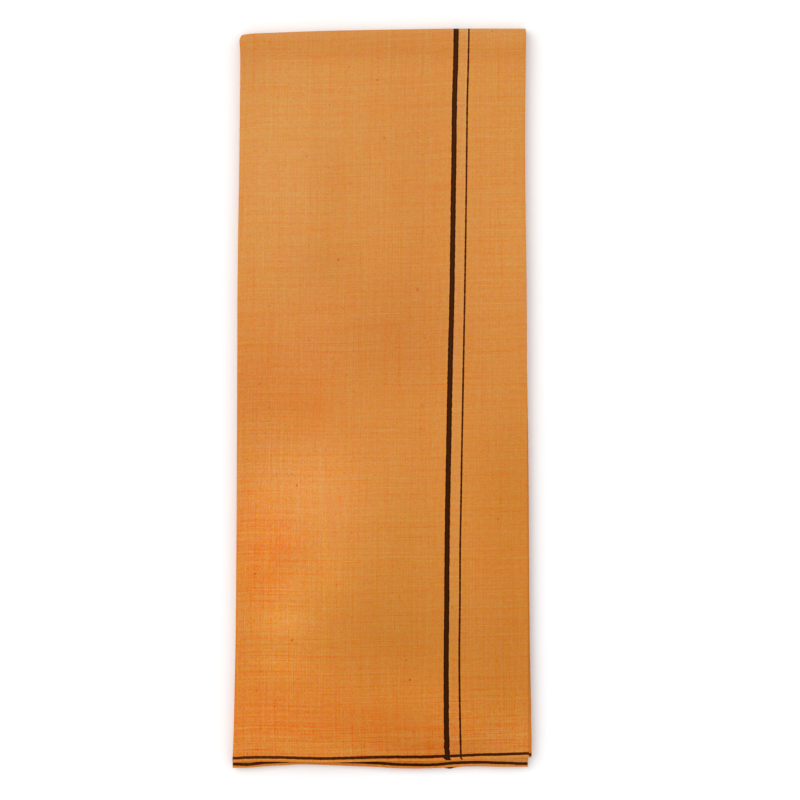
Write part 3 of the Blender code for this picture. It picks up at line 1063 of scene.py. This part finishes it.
def end_panel_cloth(material):
    """The end panel: round the head fold, with its left side turned under where the next panel starts."""
    path = Path()
    across, rows = sheet_grid("end", SIDES_FINE, FOOT_FINE, FOOT_HIDDEN)
    path.run(1, across, "1/2", "end", False)
    path.loop(1, "1/2", "end", True)
    for distance in TUCK:
        path.add(0.0, "1/2", "end", distance, OUTER_LEAF - PITCH, (0.0, -1.0), 2)
    sheet = {
        "right": lambda y: smooth(CUT_END, y),
        "upper_foot": lambda x, leaf: smooth(FOOT_TOP, x) + END_STEP * (leaf - 1),
        "lower_foot": lambda x, leaf: smooth(FOOT_UNDER, x) + END_STEP * (leaf - 1),
        "start_way": -1.0,
        "stop_way": -1.0,
        "first_u": 0.0,
        "edge_start": 0.0,
        "bake_map": True,
        "striped": True,
    }
    piece = sheet_object("end_panel_cloth", path, rows, sheet, material)
    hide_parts("end_panel")
    return piece


def middle_cloth(material):
    """The six panels between, as one accordion with its folds at the two sides."""
    path = Path()
    across, rows = sheet_grid("middle", SIDES_PLAIN, FOOT_PLAIN, FOOT_HIDDEN)
    lefts = ("inside", "3/4", "3/4", "5/6", "5/6", "inside")
    rights = ("2/3", "2/3", "4/5", "4/5", "6/7", "6/7")
    for leaf, left, right in zip(range(2, PANELS), lefts, rights):
        path.run(leaf, across, left, right, leaf % 2 == 0)
        if leaf < PANELS - 1:
            path.loop(leaf, left, right, leaf % 2 == 1)

    def upper_foot(x, leaf):
        steps = stepped_out(x) * np.maximum(0.0, leaf - 3) / 5
        return smooth(FOOT_TOP, x) - OFF_TOP - steps + HIDDEN_WAVER * waver_by_leaf(leaf, x)

    def lower_foot(x, leaf):
        even = smooth(FOOT_SHOWN, x) + OFF_SHOWN + MIDDLE_STEP * (7 - leaf)
        return even + HIDDEN_WAVER * waver_by_leaf(leaf + 10, x)

    sheet = {
        "right": lambda y: smooth(RIGHT_FOLD, y),
        "upper_foot": upper_foot,
        "lower_foot": lower_foot,
        "start_way": 1.0,
        "stop_way": 1.0,
        "first_u": PANEL + TUCK_LENGTH,
        "edge_start": 0.0010,
        "bake_map": False,
        "striped": False,
    }
    piece = sheet_object("middle_cloth", path, rows, sheet, material)
    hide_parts("middle_layers")
    return piece


def stepped_out(x):
    """How far the last upper leaf steps out from under the top leaf at the foot, right of the middle."""
    return smooth(STEP, x) * eased(x / 50.0)


def waver_by_leaf(leaf, x):
    """Small waves of a selvedge, different for each leaf and even between two leaves."""
    whole = leaf + np.zeros_like(x)
    low = np.floor(whole)
    part = whole - low
    total = np.zeros_like(x)
    for number in np.unique(low):
        near = low == number
        here = waver(int(number) + 50, x / (1000 * PANEL))
        after = waver(int(number) + 51, x / (1000 * PANEL))
        total = np.where(near, here + (after - here) * part, total)
    return total


def last_panel_cloth(material):
    """The last panel, innermost. Its lower half reaches out at the foot and shows below the top leaf."""
    path = Path()
    across, rows = sheet_grid("last", SIDES_FINE, FOOT_PLAIN, FOOT_FINEST)
    for distance in reversed(TUCK):
        path.add(0.0, "7/8", "last", distance, INNER_LEAF + PITCH, (0.0, 1.0), 7)
    path.loop(7, "7/8", "last", True)
    path.run(8, across, "7/8", "last", True)
    sheet = {
        "right": lambda y: np.minimum(smooth(CUT_END, y), LAST_CUT_END) - LAST_CUT_IN,
        "upper_foot": lambda x, leaf: smooth(FOOT_TOP, x) - OFF_TOP - stepped_out(x),
        "lower_foot": lambda x, leaf: smooth(FOOT_SHOWN, x) + LAST_STEP * (8 - leaf),
        "start_way": -1.0,
        "stop_way": -1.0,
        "first_u": (PANELS - 1) * PANEL - TUCK_LENGTH,
        "edge_start": 0.0,
        "bake_map": True,
        "striped": False,
    }
    piece = sheet_object("last_panel_cloth", path, rows, sheet, material)
    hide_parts("last_panel")
    return piece


# The camera looks straight down from above the middle of the photo's frame
CAMERA_HEIGHT = 3.0
CAMERA_X = 0.0154
CAMERA_Y = -0.0013
FRAME_WIDTH = 0.6864
SENSOR = 36.0


def camera():
    data = bpy.data.cameras.new("camera")
    data.sensor_width = SENSOR
    data.lens = SENSOR * (CAMERA_HEIGHT - 2 * END_OUT * MM) / FRAME_WIDTH
    data.clip_start = 0.01
    data.clip_end = 50.0
    obj = bpy.data.objects.new("camera", data)
    obj.location = (CAMERA_X, CAMERA_Y, CAMERA_HEIGHT)
    bpy.context.scene.collection.objects.link(obj)
    bpy.context.scene.camera = obj


# The floor, a hair below the cloth's underside, the sky's strength, and the lamp, in metres and degrees
FLOOR_GREY = 0.92
FLOOR_HALF = 6.0
FLOOR_LEVEL = -0.0004
SKY = 0.97
LAMP_POWER = 0.84
LAMP_ANGLE = 50.0
LAMP_PLACE = (-1.6, 1.2, 2.2)


def surroundings():
    """A plain pale floor, an even sky and one large soft lamp on the upper left."""
    mesh = bpy.data.meshes.new("floor")
    signs = ((-1, -1), (1, -1), (1, 1), (-1, 1))
    corners = [(x * FLOOR_HALF, y * FLOOR_HALF, FLOOR_LEVEL) for x, y in signs]
    mesh.from_pydata(corners, [], [(0, 1, 2, 3)])
    material = bpy.data.materials.new("floor_paint")
    material.use_nodes = True
    shader = material.node_tree.nodes["Principled BSDF"]
    shader.inputs["Base Color"].default_value = (FLOOR_GREY, FLOOR_GREY, FLOOR_GREY, 1.0)
    shader.inputs["Roughness"].default_value = 0.9
    mesh.materials.append(material)
    floor = bpy.data.objects.new("floor", mesh)
    bpy.context.scene.collection.objects.link(floor)
    world = bpy.data.worlds.new("sky")
    world.use_nodes = True
    background = world.node_tree.nodes["Background"]
    background.inputs["Color"].default_value = (1.0, 1.0, 1.0, 1.0)
    background.inputs["Strength"].default_value = SKY
    bpy.context.scene.world = world
    lamp = bpy.data.lights.new("soft_lamp", "SUN")
    lamp.angle = math.radians(LAMP_ANGLE)
    lamp.energy = LAMP_POWER
    obj = bpy.data.objects.new("soft_lamp", lamp)
    obj.location = LAMP_PLACE
    obj.rotation_euler = aimed_at(obj.location, (0.0, 0.0, 0.0))
    bpy.context.scene.collection.objects.link(obj)


def aimed_at(place, target):
    """Turn of a lamp at a place that points it at a target."""
    away = np.array(target) - np.array(place)
    down = math.atan2(math.hypot(away[0], away[1]), -away[2])
    round_z = math.atan2(-away[0], away[1])
    return (down, 0.0, round_z)


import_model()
for start_object in [o for o in bpy.data.objects if o.name in ("Cube", "Light", "Camera")]:
    bpy.data.objects.remove(start_object)
bpy.context.scene.view_settings.view_transform = "Standard"
camera()
surroundings()
cotton = woven_cotton()
for made in (end_panel_cloth(cotton), middle_cloth(cotton), last_panel_cloth(cotton)):
    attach(made, "root")
